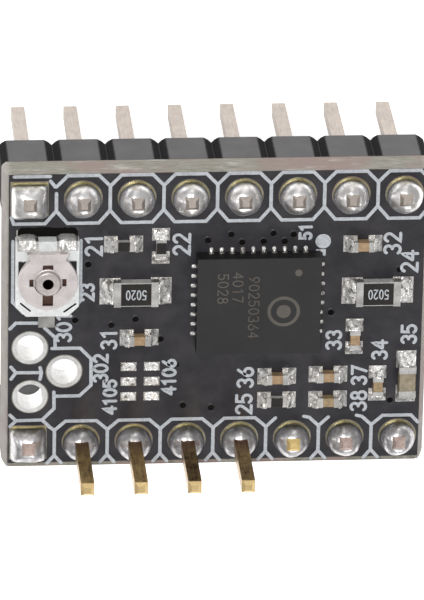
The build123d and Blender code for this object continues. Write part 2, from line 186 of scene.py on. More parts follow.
class Sheet:
    # one material with a Principled shader; every other node is added by node()
    def __init__(self, name):
        self.material = bpy.data.materials.new(name)
        self.material.use_nodes = True
        self.tree = self.material.node_tree
        self.tree.nodes.clear()
        self.shader = self.tree.nodes.new("ShaderNodeBsdfPrincipled")
        output = self.tree.nodes.new("ShaderNodeOutputMaterial")
        self.tree.links.new(self.shader.outputs[0], output.inputs[0])
        self.place = self.node("ShaderNodeTexCoord", out="Object")

    def feed(self, socket, value):
        if isinstance(value, Wire):
            self.tree.links.new(value.socket, socket)
        elif isinstance(value, (tuple, list)) and socket.type == "RGBA" and len(value) == 3:
            socket.default_value = (*value, 1)
        else:
            socket.default_value = value

    def node(self, kind, settings=None, values=None, out=0):
        made = self.tree.nodes.new(kind)
        for key, value in (settings or {}).items():
            setattr(made, key, value)
        for key, value in (values or {}).items():
            self.feed(made.inputs[key], value)
        return Wire(self, made.outputs[out])

    def maths(self, operation, a, b):
        return self.node("ShaderNodeMath", {"operation": operation}, {0: a, 1: b})

    def stretch(self, factors):
        return self.node("ShaderNodeVectorMath", {"operation": "MULTIPLY"}, {0: self.place, 1: factors})

    def cloud(self, perMm, detail=3.0, rough=0.5, squash=(1, 1, 1)):
        # soft noise with so many blotches to the millimetre, 0 to 1
        scaled = self.stretch([s * perMm / mm for s in squash])
        return self.node(
            "ShaderNodeTexNoise", None,
            {"Vector": scaled, "Scale": 1.0, "Detail": detail, "Roughness": rough})

    def cells(self, perMm):
        scaled = self.stretch([perMm / mm] * 3)
        return self.node("ShaderNodeTexVoronoi", {"feature": "F1"}, {"Vector": scaled, "Scale": 1.0})

    def between(self, value, low, high, start=0.0, end=1.0):
        return self.node(
            "ShaderNodeMapRange", {"clamp": True},
            {"Value": value, "From Min": low, "From Max": high, "To Min": start, "To Max": end})

    def mix(self, factor, a, b):
        made = self.tree.nodes.new("ShaderNodeMix")
        made.data_type = "RGBA"
        self.feed(made.inputs[0], factor)
        self.feed(made.inputs[6], a)
        self.feed(made.inputs[7], b)
        return Wire(self, made.outputs[2])

    def axis(self, index):
        return self.node("ShaderNodeSeparateXYZ", None, {"Vector": self.place}, out=index)

    def positive(self, value):
        return self.node("ShaderNodeMath", {"operation": "ABSOLUTE"}, {0: value})

    def fromDiscAxis(self):
        # distance from the trimmer's upright axis, mm
        centre = (discCentre[0] * mm, discCentre[1] * mm, 0)
        flat = self.stretch((1, 1, 0))
        return self.node("ShaderNodeVectorMath", {"operation": "DISTANCE"}, {0: flat, 1: centre}, out=1) / mm

    def bump(self, height, depth, strength):
        return self.node(
            "ShaderNodeBump", None, {"Height": height, "Distance": depth * mm, "Strength": strength})

    def set(self, **values):
        for key, value in values.items():
            label = "".join(" " + c if c.isupper() else c for c in key).strip().title()
            label = label.replace("Specular Level", "Specular IOR Level")
            self.feed(self.shader.inputs[label], value)
        return self.material


materials = {}


def laminateMaterial():
    look = {
        "glass": (0.31, 0.295, 0.25), "resin": (0.16, 0.15, 0.115), "stain": (0.27, 0.19, 0.17),
        "dust": (0.62, 0.61, 0.58), "end": (0.50, 0.46, 0.44), "endDepth": (0.46, 0.16),
    }
    s = Sheet("sawnLaminate")
    fibres = s.cloud(5.0, 4, 0.65, (0.35, 0.35, 5.0))
    blotch = s.cloud(0.35, 3, 0.6)
    grit = s.cloud(16, 3, 0.7)
    colour = s.mix(s.between(fibres, 0.36, 0.62), look["resin"], look["glass"])
    colour = s.mix(s.between(blotch, 0.48, 0.62, 0, 0.8), colour, look["stain"])
    # pale smudges on the sawn edges are painted highlights
    highlightSmudge = s.between(s.cloud(1.1, 4, 0.7, (0.5, 0.5, 1.5)), 0.56, 0.72)
    colour = s.mix(highlightSmudge * s.between(grit, 0.35, 0.7), colour, look["dust"])
    edge = highest("board_laminate")[0]
    start, full = [edge - depth for depth in look["endDepth"]]
    ends = s.between(s.positive(s.axis(0) / mm), start, full, 0, 0.75) * s.between(blotch, 0.3, 0.6, 1, 0.5)
    colour = s.mix(ends, colour, look["end"])
    normal = s.bump(fibres * 0.6 + grit * 0.4, 0.05, 0.8)
    return s.set(baseColor=colour, roughness=0.62 + 0.2 * grit, normal=normal)


def maskMaterial():
    look = {"lacquer": (0.016, 0.0145, 0.018), "worn": (0.034, 0.031, 0.036), "speck": (0.16, 0.155, 0.15)}
    s = Sheet("solderMask")
    haze = s.cloud(0.9, 4, 0.6)
    peel = s.cloud(9, 3, 0.55)
    specks = s.between(s.cells(5.5), 0.05, 0.10, 1, 0)
    patchy = s.between(s.cloud(1.2, 2, 0.5), 0.5, 0.62)
    colour = s.mix(s.between(haze, 0.35, 0.7), look["lacquer"], look["worn"])
    colour = s.mix(specks * patchy * 0.5, colour, look["speck"])
    return s.set(
        baseColor=colour, roughness=s.between(haze, 0.3, 0.75, 0.34, 0.5),
        normal=s.bump(peel, 0.006, 0.5), specularLevel=0.42)


def silkMaterial():
    look = {"thick": (0.56, 0.585, 0.62), "ragged": (0.38, 0.40, 0.43), "thin": (0.45, 0.47, 0.50)}
    s = Sheet("whiteInk")
    ragged = s.cloud(7, 4, 0.65)
    thin = s.between(s.cloud(18, 3, 0.7), 0.3, 0.75)
    colour = s.mix(s.between(ragged, 0.30, 0.62), look["ragged"], look["thick"])
    colour = s.mix(thin * 0.25, colour, look["thin"])
    return s.set(baseColor=colour, roughness=0.62, normal=s.bump(ragged, 0.008, 0.5))


def headerSolderMaterial(name, look):
    # the lower slope behind each pin row is coloured dark olive
    s = Sheet(name)
    smears = s.cloud(3.2, 4, 0.62)
    grain = s.cloud(26, 3, 0.6)
    colour = s.mix(s.between(smears, 0.36, 0.66, 0, look["smear"] * 2), look["bright"], look["dull"])
    behind = s.between(s.axis(1) / mm - look["row"] + 0.25 * (smears - 0.5), 0.60, 0.80, 0, 0.85)
    colour = s.mix(behind, colour, (0.20, 0.18, 0.11))
    rough = look["rough"]
    return s.set(
        baseColor=colour, metallic=1.0,
        roughness=s.between(smears, 0.3, 0.7, rough, rough + 0.2) + 0.06 * grain,
        normal=s.bump(smears * 0.7 + grain * 0.3, 0.012, 0.55))


def heapSolderMaterial():
    # solder on the chip parts: bright where it is smooth, with painted shade making its hollows brown-grey
    look = {"white": (1.0, 0.99, 0.97), "grey": (0.86, 0.835, 0.80), "hollow": (0.16, 0.135, 0.11)}
    s = Sheet("heapSolder")
    smears = s.cloud(1.9, 3, 0.55)
    pits = s.cloud(4.6, 2, 0.5)
    grain = s.cloud(14, 3, 0.6)
    colour = s.mix(s.between(smears, 0.42, 0.62), look["white"], look["grey"])
    colour = s.mix(s.between(pits, 0.57, 0.66, 0, 0.85), colour, look["hollow"])
    return s.set(
        baseColor=colour, metallic=0.62, roughness=s.between(smears, 0.3, 0.7, 0.16, 0.34),
        normal=s.bump(pits * 0.75 + smears * 0.2 + grain * 0.05, 0.10, 0.75))


def metalMaterial(name, bright, shade, rough, drawn=(1, 1, 1)):
    # drawn wire and stamped sheet: streaks where drawn squeezes the grain
    s = Sheet(name)
    streaks = s.cloud(14, 4, 0.6, drawn)
    cloudy = s.cloud(1.6, 3, 0.6)
    colour = s.mix(s.between(streaks * 0.5 + cloudy * 0.5, 0.38, 0.62), shade, bright)
    return s.set(
        baseColor=colour, metallic=1.0, roughness=s.between(cloudy, 0.3, 0.7, rough, rough + 0.14),
        normal=s.bump(streaks, 0.006, 0.5))


def padSolderMaterial():
    # the pads under the solder: tinned, with painted shade darkening them round the chip
    look = {
        "dull": (0.42, 0.40, 0.38), "bright": (0.70, 0.68, 0.65), "flux": (0.035, 0.028, 0.024),
        "chipShadeReach": (0.30, 0.36),
    }
    s = Sheet("tinnedPad")
    centre = middle("chip_mould")
    corner = highest("chip_mould")
    chipShaded = 1.0
    for index in (0, 1):
        half = corner[index] - centre[index]
        start, end = [half + reach for reach in look["chipShadeReach"]]
        chipShaded = chipShaded * s.between(s.positive(s.axis(index) / mm - centre[index]), start, end, 1, 0)
    cloudy = s.cloud(3, 3, 0.6)
    colour = s.mix(s.between(cloudy, 0.35, 0.65), look["dull"], look["bright"])
    colour = s.mix(chipShaded, colour, look["flux"])
    return s.set(
        baseColor=colour, metallic=1.0 - chipShaded, roughness=s.between(cloudy, 0.3, 0.7, 0.3, 0.5),
        normal=s.bump(cloudy, 0.01, 0.5))


def rotorMaterial():
    # painted shade: the floors of the disc's slots are darkened brown
    look = {
        "bright": (0.74, 0.69, 0.68), "shade": (0.61, 0.56, 0.55), "deep": (0.11, 0.065, 0.05),
        "slotReach": 1.26,
    }
    s = Sheet("stampedDisc")
    below = highest("trimmer_rotor")[2] - s.axis(2) / mm
    reach = look["slotReach"]
    slotShadeMask = s.between(below, 0.03, 0.12) * s.between(s.fromDiscAxis(), reach, reach + 0.06, 1, 0)
    cloudy = s.cloud(1.6, 3, 0.6)
    fine = s.cloud(11, 3, 0.6)
    colour = s.mix(s.between(cloudy * 0.6 + fine * 0.4, 0.36, 0.64), look["shade"], look["bright"])
    colour = s.mix(slotShadeMask, colour, look["deep"])
    return s.set(
        baseColor=colour, metallic=0.85, roughness=s.between(cloudy, 0.3, 0.7, 0.42, 0.56),
        normal=s.bump(cloudy * 0.5 + fine * 0.5, 0.008, 0.5))


def stripMaterial():
    # the wiper's strip is grey; its eyelet above the disc is the disc's metal, with painted shade darkening
    # the bore
    look = {
        "greyDull": (0.30, 0.295, 0.28), "greyBright": (0.42, 0.41, 0.39),
        "eyeletDull": (0.52, 0.47, 0.455), "eyeletBright": (0.66, 0.61, 0.595),
        "bore": (0.045, 0.025, 0.02), "boreReach": 0.255,
    }
    s = Sheet("wiperStrip")
    height = s.axis(2) / mm - boardTop
    cloudy = s.cloud(2.2, 3, 0.6)
    fine = s.cloud(12, 3, 0.6)
    grey = s.mix(s.between(cloudy, 0.36, 0.64), look["greyDull"], look["greyBright"])
    eyelet = s.mix(s.between(cloudy * 0.5 + fine * 0.5, 0.36, 0.64), look["eyeletDull"], look["eyeletBright"])
    colour = s.mix(s.between(height, 0.3, 0.5), grey, eyelet)
    reach = look["boreReach"]
    colour = s.mix(s.between(s.fromDiscAxis(), reach, reach + 0.02, 1, 0), colour, look["bore"])
    return s.set(
        baseColor=colour, metallic=0.85, roughness=s.between(cloudy, 0.3, 0.7, 0.34, 0.48),
        normal=s.bump(cloudy * 0.5 + fine * 0.5, 0.01, 0.5))


def goldPinMaterial():
    # the upward pins: darker brown just above the solder, bright at the tip
    look = {
        "gold": (0.62, 0.43, 0.17), "tarnish": (0.24, 0.13, 0.055), "tip": (0.80, 0.60, 0.30),
        "lowBand": (0.20, 0.085, 0.045), "lowBandFrom": 0.82, "lowBandTo": 2.4, "tipFrom": 5.1,
    }
    s = Sheet("giltPin")
    streaks = s.cloud(10, 4, 0.6, (1, 1, 0.1))
    blotch = s.cloud(2.4, 4, 0.65)
    height = s.axis(2) / mm - boardTop
    colour = s.mix(s.between(streaks * 0.5 + blotch * 0.5, 0.38, 0.60), look["tarnish"], look["gold"])
    low, high, tip = look["lowBandFrom"], look["lowBandTo"], look["tipFrom"]
    lowBandMask = s.between(height, 0.9, high, 0.85, 0) * s.between(height, low, low + 0.06)
    colour = s.mix(lowBandMask, colour, look["lowBand"])
    colour = s.mix(s.between(height, tip, tip + 0.2, 0, 0.9), colour, look["tip"])
    return s.set(
        baseColor=colour, metallic=1.0, roughness=s.between(blotch, 0.3, 0.7, 0.24, 0.42),
        normal=s.bump(streaks * 0.5 + blotch * 0.5, 0.012, 0.6))


def chipMaterial():
    # moulded epoxy: dark grey on top, with painted shade making it near black down the sides
    look = {
        "dark": (0.0145, 0.013, 0.0137), "light": (0.0215, 0.0198, 0.0205), "side": (0.006, 0.0055, 0.006),
    }
    s = Sheet("chipEpoxy")
    grain = s.cloud(22, 3, 0.6)
    broad = s.cloud(0.8, 3, 0.5)
    top = highest("chip_mould")[2]
    # painted shade: the sides darken towards near black
    side = s.between(s.axis(2) / mm, top - 0.10, top - 0.03, 1, 0)
    colour = s.mix(s.between(broad * 0.6 + grain * 0.4, 0.35, 0.65), look["dark"], look["light"])
    colour = s.mix(side, colour, look["side"])
    return s.set(
        baseColor=colour, roughness=s.between(grain, 0.3, 0.7, 0.46, 0.60),
        normal=s.bump(grain, 0.006, 0.6), specularLevel=0.42)


def plasticMaterial(name, dark, light, rough, grainPerMm, depth, shine=0.5):
    s = Sheet(name)
    grain = s.cloud(grainPerMm, 3, 0.6)
    broad = s.cloud(0.8, 3, 0.5)
    colour = s.mix(s.between(broad * 0.6 + grain * 0.4, 0.35, 0.65), dark, light)
    return s.set(
        baseColor=colour, roughness=s.between(grain, 0.3, 0.7, rough - 0.06, rough + 0.08),
        normal=s.bump(grain, depth, 0.6), specularLevel=shine)


def headerMaterial():
    # the corners between two posts are in deep shade, with a light seam where the posts meet
    look = {
        "face": (0.105, 0.101, 0.103), "shade": (0.078, 0.075, 0.077), "recess": (0.008, 0.0075, 0.008),
        "seam": (0.045, 0.043, 0.045), "recessFrom": 0.86, "seamFrom": 1.24,
    }
    s = Sheet("headerPlastic")
    grain = s.cloud(14, 3, 0.6)
    broad = s.cloud(0.8, 3, 0.5)
    steps = (s.axis(0) / mm - (rearPins[0][0] - pitch / 2)) / pitch
    along = s.node("ShaderNodeMath", {"operation": "FRACT"}, {0: steps}) - 0.5
    fromPin = s.positive(along) * pitch
    start, seam = look["recessFrom"], look["seamFrom"]
    recess = s.between(fromPin + 0.05 * (grain - 0.5), start, start + 0.10)
    colour = s.mix(s.between(broad * 0.6 + grain * 0.4, 0.35, 0.65), look["shade"], look["face"])
    colour = s.mix(recess, colour, look["recess"])
    colour = s.mix(s.between(fromPin, seam, seam + 0.015), colour, look["seam"])
    return s.set(
        baseColor=colour, roughness=s.between(grain, 0.3, 0.7, 0.42, 0.58) + 0.4 * recess,
        normal=s.bump(grain, 0.01, 0.6), specularLevel=0.14)


def ceramicMaterial(name, dark, light, rough):
    s = Sheet(name)
    mottled = s.cloud(4.5, 4, 0.6)
    pores = s.cells(14)
    colour = s.mix(s.between(mottled, 0.32, 0.68), dark, light)
    colour = s.mix(s.between(pores, 0.05, 0.16, 0.35, 0), colour, dark)
    return s.set(
        baseColor=colour, roughness=s.between(mottled, 0.3, 0.7, rough - 0.08, rough + 0.1),
        normal=s.bump(mottled * 0.5 + pores * 0.5, 0.006, 0.5))


def trackMaterial():
    # black beside the disc, fired over with the base's white towards the terminals
    look = {"ink": (0.012, 0.011, 0.011), "fired": (0.76, 0.775, 0.77), "inkReach": 0.95}
    s = Sheet("resistiveInk")
    grain = s.cloud(12, 3, 0.6)
    edge = s.axis(1) / mm - (discCentre[1] + look["inkReach"]) + 0.12 * (grain - 0.5)
    colour = s.mix(s.between(edge, -0.03, 0.03), look["ink"], look["fired"])
    return s.set(
        baseColor=colour, roughness=s.between(grain, 0.3, 0.7, 0.46, 0.60),
        normal=s.bump(grain, 0.003, 0.6), specularLevel=0.3)


headerSolders = {
    "solder": {
        "name": "brightSolder", "bright": (0.92, 0.905, 0.90), "dull": (0.60, 0.57, 0.55),
        "rough": 0.24, "smear": 0.35, "row": rearPins[0][1],
    },
    # painted shade: the front row is the same solder as the rear row, given darker colours
    "shadedSolder": {
        "name": "shadedGreySolder", "bright": (0.74, 0.72, 0.725), "dull": (0.34, 0.325, 0.325),
        "rough": 0.24, "smear": 0.45, "row": frontPins[0][1],
    },
}
wire = (1, 1, 0.12)            # grain drawn out along an upright wire
metals = {
    # bright, shade, roughness and grain
    "tinned": ("tinnedRing", (0.92, 0.92, 0.91), (0.70, 0.69, 0.67), 0.30, wire),
    "padEdge": ("padEdge", (0.62, 0.56, 0.34), (0.30, 0.26, 0.13), 0.30, wire),
    "copper": ("bareCopper", (0.80, 0.47, 0.32), (0.50, 0.24, 0.14), 0.30, wire),
    "goldWire": ("goldWire", (0.95, 0.70, 0.30), (0.75, 0.50, 0.18), 0.20, wire),
    "tinPin": ("tinnedPin", (0.56, 0.50, 0.45), (0.42, 0.37, 0.335), 0.48, wire),
    "stubPin": ("cutPinEnd", (0.66, 0.52, 0.46), (0.40, 0.30, 0.27), 0.34),
    "giltEnd": ("giltEnd", (0.86, 0.66, 0.30), (0.64, 0.46, 0.18), 0.34),
    "terminal": ("tinnedTerminal", (0.70, 0.69, 0.67), (0.46, 0.445, 0.43), 0.30),
    "collar": ("discCollar", (0.74, 0.69, 0.68), (0.61, 0.56, 0.55), 0.45),
}
plastics = {
    # dark, light, roughness, grains to the millimetre, their depth in mm, and the shine if not 0.5
    "laserMark": ("laserMark", (0.070, 0.061, 0.052), (0.125, 0.110, 0.094), 0.6, 16, 0.004),
    "silicon": ("silicon", (0.10, 0.11, 0.14), (0.16, 0.17, 0.20), 0.2, 8, 0.001),
    # painted shade: a near-black fill for shadows and the dark inside holes
    "gap": ("paintedShadeFill", (0.003, 0.0027, 0.0025), (0.009, 0.0075, 0.0065), 0.85, 8, 0.002, 0.08),
    "glaze": ("blackGlaze", (0.010, 0.008, 0.0075), (0.024, 0.020, 0.018), 0.5, 6, 0.006, 0.3),
}
ceramics = {
    # dark, light and roughness
    "ceramic": ("whiteCeramic", (0.70, 0.715, 0.71), (0.88, 0.895, 0.89), 0.55),
    "resistorBody": ("resistorCeramic", (0.42, 0.41, 0.39), (0.58, 0.57, 0.55), 0.50),
    "brownBody": ("capacitorBrown", (0.30, 0.19, 0.10), (0.48, 0.33, 0.19), 0.42),
    "tanBody": ("capacitorTan", (0.27, 0.185, 0.095), (0.42, 0.31, 0.18), 0.42),
    "khakiBody": ("capacitorKhaki", (0.24, 0.20, 0.135), (0.38, 0.32, 0.22), 0.42),
}


def makeMaterials():
    for key, look in headerSolders.items():
        materials[key] = headerSolderMaterial(look["name"], look)
    for key, look in metals.items():
        materials[key] = metalMaterial(*look)
    for key, look in plastics.items():
        materials[key] = plasticMaterial(*look)
    for key, look in ceramics.items():
        materials[key] = ceramicMaterial(*look)
    materials["laminate"] = laminateMaterial()
    materials["mask"] = maskMaterial()
    materials["silk"] = silkMaterial()
    materials["whiteSolder"] = heapSolderMaterial()
    materials["padSolder"] = padSolderMaterial()
    materials["goldPin"] = goldPinMaterial()
    materials["header"] = headerMaterial()
    materials["chip"] = chipMaterial()
    materials["track"] = trackMaterial()
    materials["rotor"] = rotorMaterial()
    materials["strip"] = stripMaterial()


makeMaterials()
print("materials made:", len(materials))


# mesh helpers, with every size in millimetres
def addPiece(name, mesh, material, body, smooth=True):
    for vertex in mesh.vertices:
        vertex.co *= mm
    obj = bpy.data.objects.new(name, mesh)
    bpy.context.scene.collection.objects.link(obj)
    mesh.materials.append(material)
    for face in mesh.polygons:
        face.use_smooth = smooth
    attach(obj, body)
    return obj


def solderPiece(name, bm, key, node):
    # solder modelled here stands in for the plain solder of one cad node
    obj = addPiece(name, closeMesh(name, bm), materials[key], moduleBody)
    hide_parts(node)


def closeMesh(name, bm):
    bmesh.ops.remove_doubles(bm, verts=bm.verts, dist=1e-6)
    bmesh.ops.recalc_face_normals(bm, faces=bm.faces)
    mesh = bpy.data.meshes.new(name)
    bm.to_mesh(mesh)
    bm.free()
    return mesh


def soften(obj, width, segments, angle=35):
    made = obj.modifiers.new("soften", "BEVEL")
    made.width = width * mm
    made.segments = segments
    made.limit_method = "ANGLE"
    made.angle_limit = math.radians(angle)
    made.harden_normals = False
    for face in obj.data.polygons:
        face.use_smooth = True


def rumple(point, perMm, seed):
    # smooth noise from -1 to 1
    spot = Vector(point) * perMm + Vector((seed * 7.3, seed * 3.1, seed * 1.7))
    return noise.noise(spot)


def strokeInto(bm, points, width, low, high, rag, seed):
    # one painted line: a strip of quads with upright edges and round ends
    path = [Vector(p) for p in points]
    fine = [path[0]]
    for a, b in zip(path, path[1:]):
        steps = max(1, int((b - a).length / 0.12))
        fine += [a.lerp(b, k / steps) for k in range(1, steps + 1)]
    half = width / 2
    rows = []
    for index, here in enumerate(fine):
        into = here - fine[max(0, index - 1)]
        out = fine[min(len(fine) - 1, index + 1)] - here
        into = into.normalized() if into.length else out.normalized()
        out = out.normalized() if out.length else into
        run = (into + out).normalized() if (into + out).length > 1e-6 else into
        side = Vector((-run.y, run.x))
        reach = half / max(0.6, side.dot(Vector((-out.y, out.x))))
        left = reach * (1 + rag * rumple((here.x, here.y, 0.3), 4.3, seed))
        right = reach * (1 + rag * rumple((here.x, here.y, 5.3), 4.3, seed))
        rows.append((here + side * left, here - side * right))
    lefts = [r[0] for r in rows]
    rights = [r[1] for r in rows]
    startCap = roundEnd(fine[0], fine[0] - fine[1], half)
    endCap = roundEnd(fine[-1], fine[-1] - fine[-2], half)
    rim = lefts + endCap + list(reversed(rights)) + startCap
    tops = [bm.verts.new((p.x, p.y, high)) for p in rim]
    feet = [bm.verts.new((p.x, p.y, low)) for p in rim]
    for k in range(len(rim)):
        after = (k + 1) % len(rim)
        bm.faces.new((tops[k], tops[after], feet[after], feet[k]))
    count = len(rows)
    firstRight = count + len(endCap)
    for k in range(count - 1):
        mate = firstRight + count - 1 - k
        bm.faces.new((tops[k], tops[k + 1], tops[mate - 1], tops[mate]))
    bm.faces.new([tops[count - 1]] + tops[count:firstRight + 1])
    bm.faces.new(tops[firstRight + count - 1:] + [tops[0]])


def roundEnd(centre, direction, half):
    heading = math.atan2(direction.y, direction.x)
    angles = [heading + math.pi / 2 - math.pi * k / 6 for k in range(1, 6)]
    return [centre + Vector((math.cos(a), math.sin(a))) * half for a in angles]


def strokes(name, lines, width, low, high, material, rag=0.05):
    # each line stands a hair higher than the last, so that crossings never lie in one plane
    bm = bmesh.new()
    for seed, line in enumerate(lines):
        strokeInto(bm, line, width, low, high + 0.0008 * (seed % 7), rag, seed)
    addPiece(name, closeMesh(name, bm), material, moduleBody, smooth=False)


def spunInto(bm, x, y, profile, around=32, lumps=0.0, seed=0):
    # turned shape round an upright axis; profile is (radius, height) pairs
    rings = []
    for radius, height in profile:
        if radius < 1e-6:
            rings.append([bm.verts.new((x, y, height))])
            continue
        ring = []
        for k in range(around):
            a = 2 * math.pi * k / around
            spot = Vector((math.cos(a) * radius, math.sin(a) * radius, height))
            swell = 1 + lumps * rumple(spot, 1.7, seed)
            ring.append(bm.verts.new((x + spot.x * swell, y + spot.y * swell, height)))
        rings.append(ring)
    joinRings(bm, rings)


def joinRings(bm, rings):
    around = max(len(ring) for ring in rings)
    for low, high in zip(rings, rings[1:]):
        for k in range(around):
            after = (k + 1) % around
            corners = []
            for ring, spot in ((low, k), (low, after), (high, after), (high, k)):
                vertex = ring[spot % len(ring)]
                if vertex not in corners:
                    corners.append(vertex)
            if len(corners) > 2:
                bm.faces.new(corners)


def moundInto(bm, centre, turn, size, heightAt, low, cells, corner=0.5, rag=0.06):
    # solder laid over a pad: a grid with a rounded outline, lifted by heightAt(x, y), flat below
    length, width = size
    nx, ny = cells
    spin = math.radians(turn)
    tops = {}
    for i in range(nx + 1):
        for j in range(ny + 1):
            u, v = 2 * i / nx - 1, 2 * j / ny - 1
            u = math.copysign(abs(u) ** 0.85, u)
            v = math.copysign(abs(v) ** 0.85, v)
            pull = 1 - corner * (u * u) * (v * v) * 0.5
            pull *= 1 + rag * rumple((centre[0] + u, centre[1] + v, 0.5), 1.6, 3)
            x, y = u * length / 2 * pull, v * width / 2 * pull
            edge = min(1 - abs(u), 1 - abs(v))
            rise = heightAt(x, y) * min(1, edge * 5) ** 0.5 if edge > 1e-6 else 0
            px = centre[0] + x * math.cos(spin) - y * math.sin(spin)
            py = centre[1] + x * math.sin(spin) + y * math.cos(spin)
            tops[i, j] = bm.verts.new((px, py, low + 0.004 + rise))
    for i in range(nx):
        for j in range(ny):
            bm.faces.new((tops[i, j], tops[i + 1, j], tops[i + 1, j + 1], tops[i, j + 1]))
    rim = [tops[i, 0] for i in range(nx)] + [tops[nx, j] for j in range(ny)]
    rim += [tops[i, ny] for i in range(nx, 0, -1)] + [tops[0, j] for j in range(ny, 0, -1)]
    feet = [bm.verts.new((v.co.x, v.co.y, low)) for v in rim]
    count = len(rim)
    for k in range(count):
        after = (k + 1) % count
        bm.faces.new((rim[k], feet[k], feet[after], rim[after]))
    bm.faces.new(feet)


def paint(node, key, bevel=None, segments=2):
    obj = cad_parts[node]
    obj.data.materials.clear()
    obj.data.materials.append(materials[key])
    if bevel:
        soften(obj, bevel, segments)


# the cad nodes that keep their shape, with the bevels of the moulded and stamped ones
nodeLooks = {
    # material, then bevel in mm and its segments
    "board_laminate": ("laminate",),
    "solder_mask_top": ("mask",),
    "solder_mask_bottom": ("mask",),
    "header_hole_plating": ("padEdge",),
    "via_plating": ("copper",),
    "copper_pads": ("padSolder",),
    "rear_header_body": ("header", 0.09, 3),
    "front_header_body": ("header", 0.09, 3),
    "chip_mould": ("chip", 0.035, 2),
    "chip_die": ("silicon",),
    "chip_die_pad": ("copper",),
    "chip_leads": ("terminal",),
    "chip_bond_wires": ("goldWire",),
    "trimmer_base": ("ceramic", 0.05, 3),
    "trimmer_track": ("track",),
    "trimmer_left_terminal": ("terminal", 0.015),
    "trimmer_right_terminal": ("terminal", 0.015),
    "trimmer_wiper_terminal": ("strip", 0.03, 3),
    "trimmer_rotor": ("rotor", 0.03, 3),
    "resistor_1": ("resistorBody",),
    "resistor_2": ("resistorBody",),
    "resistor_3": ("resistorBody",),
    "sense_resistor_left": ("resistorBody",),
    "sense_resistor_right": ("resistorBody",),
    "capacitor_terminals": ("terminal", 0.03, 3),
    "resistor_terminals": ("terminal", 0.03, 3),
    "resistor_coatings": ("glaze", 0.02, 2),
}
frontPinEnds = {1: "stubPin", 6: "giltEnd", 7: "stubPin", 8: "stubPin"}
capacitorColours = {4: "tanBody", 6: "tanBody", 8: "khakiBody"}


def dressFrame():
    for node, look in nodeLooks.items():
        paint(node, *look)
    for n in range(1, 4):
        paint("test_hole_plating_%d" % n, "tinned")
    for n in range(1, 9):
        paint("rear_pin_%d" % n, "tinPin", 0.05, 2)
        paint("front_pin_%d" % n, frontPinEnds.get(n, "goldPin"), 0.11, 4)
        paint("capacitor_%d" % n, capacitorColours.get(n, "brownBody"))


dressFrame()
print("cad nodes dressed:", len(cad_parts))


# white ink on the board
inkPlan = {
    "low": boardTop - 0.004,
    "high": boardTop + 0.014,
    "line": 0.165,
    "numberLine": 0.145,
    "cornerAcross": 0.74,      # half length of each eight-sided outline's flat top
    "cornerAlong": 0.62,       # half length of its upright sides
    "rearReach": 1.18,
    "rearForward": 1.265,
    "frontReach": 1.10,
    "edgeCut": 7.46,           # the front outlines run off the board here
    "trimmerLine": 0.15,
    "trimmerFrame": (
        ((-9.66, 4.20), (-9.66, 1.04), (-9.16, 0.47), (-8.60, 0.46)),
        ((-6.44, 4.20), (-6.44, 1.04), (-6.92, 0.47), (-7.56, 0.46)),
    ),
    "chipCorner": ((4.80, 3.46), (5.13, 3.46), (5.13, 3.26)),
    "firstPinDot": (5.07, 3.95, 0.36),
}


def rearOutlines(plan):
    # an eight-sided outline round each rear pad; the first has gaps and the last is open at the board's end
    lines = []
    half = pitch / 2
    across, along = plan["cornerAcross"], plan["cornerAlong"]
    reach, forward = plan["rearReach"], plan["rearForward"]
    last = len(rearPins) - 1
    for index, (x, y) in enumerate(rearPins):
        left, right = x - half, x + half
        if index == 0:
            lines.append([(x - 0.72, y + reach - 0.02), (x + 0.98, y + reach - 0.02)])
            lines.append([(right - 0.28, y + 0.92), (right - 0.06, y + 0.62)])
            lines.append([
                (left + 0.42, y - 0.93), (x - across, y - forward),
                (x + across, y - forward), (right, y - along)])
        else:
            turn = 0.86
            rearEnd = (right, y + along) if index < last else (right - 0.22, y + turn)
            frontEnd = (right, y - along) if index < last else (right - 0.22, y - turn)
            lines.append([(left, y + along), (x - across, y + reach), (x + across, y + reach), rearEnd])
            lines.append([(left, y - along), (x - across, y - forward), (x + across, y - forward), frontEnd])
        if index < last:
            start = along if index else along - 0.35
            lines.append([(right, y + start), (right, y - along)])
    return lines


def frontOutlines(plan):
    # as the rear ones, but cut off by the board's edge, and left open behind pads 6 and 7
    lines = []
    half = pitch / 2
    across, along = plan["cornerAcross"], plan["cornerAlong"]
    reach, foot = plan["frontReach"], -plan["edgeCut"]
    last = len(frontPins) - 1
    for index, (x, y) in enumerate(frontPins):
        left, right = x - half, x + half
        start, end = (left, y + along), (right, y + along)
        if index == 0:
            lines.append([end, (right - 0.30, y + 0.86)])
        elif index in (5, 6):
            lines.append([start, (left + 0.46, y + reach - 0.03)])
            lines.append([end, (right - 0.46, y + reach - 0.03), (right - 0.72, y + reach + 0.03)])
        elif index == last:
            lines.append([
                start, (x - across, y + reach), (x + across - 0.1, y + reach), (right - 0.3, y + 0.72)])
        else:
            lines.append([start, (x - across, y + reach), (x + across, y + reach), end])
        if index < last:
            fork = (right, y - along - 0.08)
            lines.append([end, fork])
            for side in (-1, 1):
                lines.append([fork, (right + side * 0.34, foot)])
    return lines


def holeOutlines():
    return [
        [(-9.78, -0.35), (-9.50, -0.05), (-8.35, -0.07)],
        [(-8.13, -0.33), (-7.63, -0.83), (-7.62, -1.42)],
        [(-7.77, -1.41), (-6.43, -1.41), (-5.90, -1.98), (-5.89, -3.37), (-6.44, -3.92), (-7.66, -3.92)],
        [(-9.72, -2.35), (-9.48, -2.65), (-8.26, -2.66)],
        [(-9.71, -2.98), (-9.48, -2.65)],
        [(-8.33, -2.40), (-8.26, -2.66), (-8.33, -3.02)],
        [(-7.66, -3.70), (-7.65, -4.57), (-8.22, -5.16), (-9.46, -5.18), (-9.75, -4.88)],
        [(-9.46, -5.18), (-9.75, -5.48)],
        [(-8.22, -5.16), (-7.86, -5.53)],
    ]


